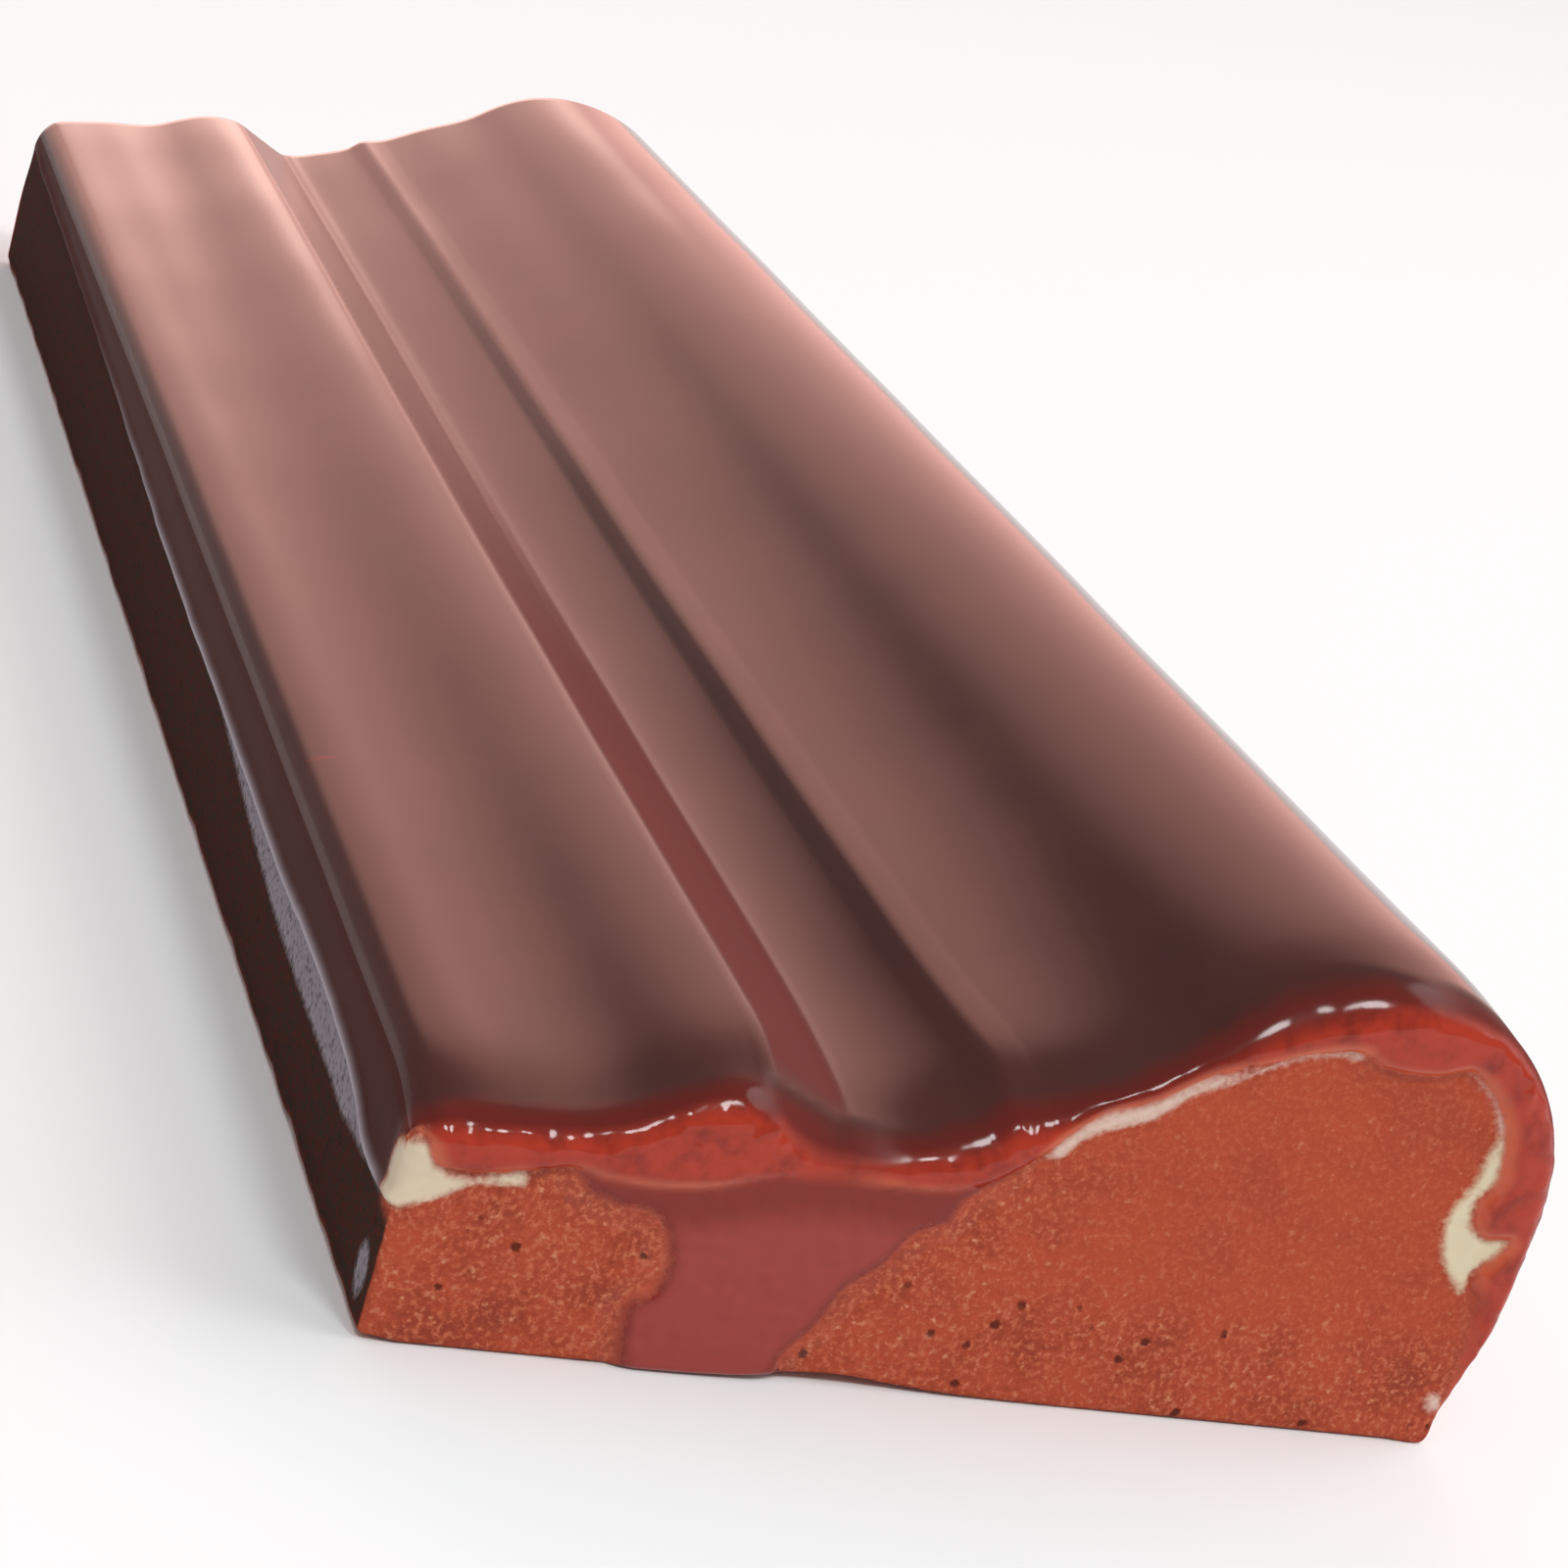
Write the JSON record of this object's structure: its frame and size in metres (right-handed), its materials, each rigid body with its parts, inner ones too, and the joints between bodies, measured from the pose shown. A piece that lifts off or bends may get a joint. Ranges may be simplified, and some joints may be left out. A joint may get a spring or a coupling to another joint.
{
  "type": "chair rail molding tile",
  "caption": "Straight length of glazed terracotta chair rail molding tile with a lip, a bead and two coves rising to a round nose, for capping a tiled wall.",
  "frame": {"origin": "centre of the tile's box at the flat back that lies on the floor", "axes": "+X across the rail from the thin lower edge to the nose, +Y along the rail away from the pictured end, +Z from the back to the moulded face"},
  "size_m": [0.0508, 0.1524, 0.0224],
  "materials": {
    "glazed_terracotta": "glossy dark red-brown glaze over pressed terracotta, with bare orange clay on the ends and back"
  },
  "bodies": {
    "root": {"molding_tile": "glazed_terracotta"}
  },
  "joints": []
}
